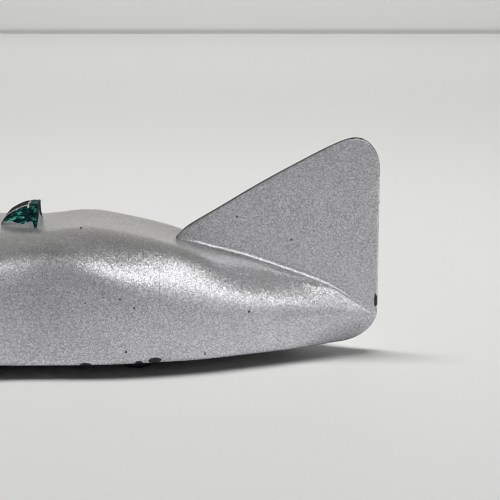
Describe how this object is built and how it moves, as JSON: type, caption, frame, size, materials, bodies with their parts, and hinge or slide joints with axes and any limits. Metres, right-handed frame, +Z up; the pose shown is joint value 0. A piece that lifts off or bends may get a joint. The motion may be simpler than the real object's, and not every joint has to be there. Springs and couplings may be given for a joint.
{
  "type": "model record car",
  "caption": "Streamlined die-cast model of a record car with one tall tail fin, rolling on hidden rubber-tyred wheels.",
  "frame": {"origin": "centre of the car's outline on the floor plane that the tyres stand on", "axes": "+X from the nose towards the tail fin, +Y towards the car's right-hand side, +Z up"},
  "size_m": [0.1258, 0.0378, 0.0441],
  "materials": {
    "silver_paint": "fine metallic silver enamel on die-cast zinc, with a few black chips along the lower edge",
    "green_paint": "thick glossy dark green enamel on the windscreen",
    "black_tin": "black enamelled pressed tin",
    "axle_steel": "drawn steel wire",
    "hub_zinc": "dull cast zinc",
    "black_rubber": "matt aged rubber"
  },
  "bodies": {
    "body": {"body_casting": "silver_paint", "base_plate": "black_tin"},
    "front_axle_body": {"front_axle": "axle_steel"},
    "rear_axle_body": {"rear_axle": "axle_steel"},
    "front_left_wheel": {"wheel_hub_front_left": "hub_zinc", "tyre_front_left": "black_rubber"},
    "front_right_wheel": {"wheel_hub_front_right": "hub_zinc", "tyre_front_right": "black_rubber"},
    "rear_left_wheel": {"wheel_hub_rear_left": "hub_zinc", "tyre_rear_left": "black_rubber"},
    "rear_right_wheel": {"wheel_hub_rear_right": "hub_zinc", "tyre_rear_right": "black_rubber"}
  },
  "joints": [
    {"name": "front_axle_spin", "type": "hinge", "parent": "body", "child": "front_axle_body", "pos_m": [-0.036, 0, 0.0062], "axis": [0, 1, 0], "continuous": true},
    {"name": "rear_axle_spin", "type": "hinge", "parent": "body", "child": "rear_axle_body", "pos_m": [0.015, 0, 0.0062], "axis": [0, 1, 0], "continuous": true},
    {"name": "front_left_spin", "type": "hinge", "parent": "front_axle_body", "child": "front_left_wheel", "pos_m": [-0.036, -0.0106, 0.0062], "axis": [0, 1, 0], "continuous": true},
    {"name": "front_right_spin", "type": "hinge", "parent": "front_axle_body", "child": "front_right_wheel", "pos_m": [-0.036, 0.0106, 0.0062], "axis": [0, 1, 0], "continuous": true},
    {"name": "rear_left_spin", "type": "hinge", "parent": "rear_axle_body", "child": "rear_left_wheel", "pos_m": [0.015, -0.0106, 0.0062], "axis": [0, 1, 0], "continuous": true},
    {"name": "rear_right_spin", "type": "hinge", "parent": "rear_axle_body", "child": "rear_right_wheel", "pos_m": [0.015, 0.0106, 0.0062], "axis": [0, 1, 0], "continuous": true}
  ]
}
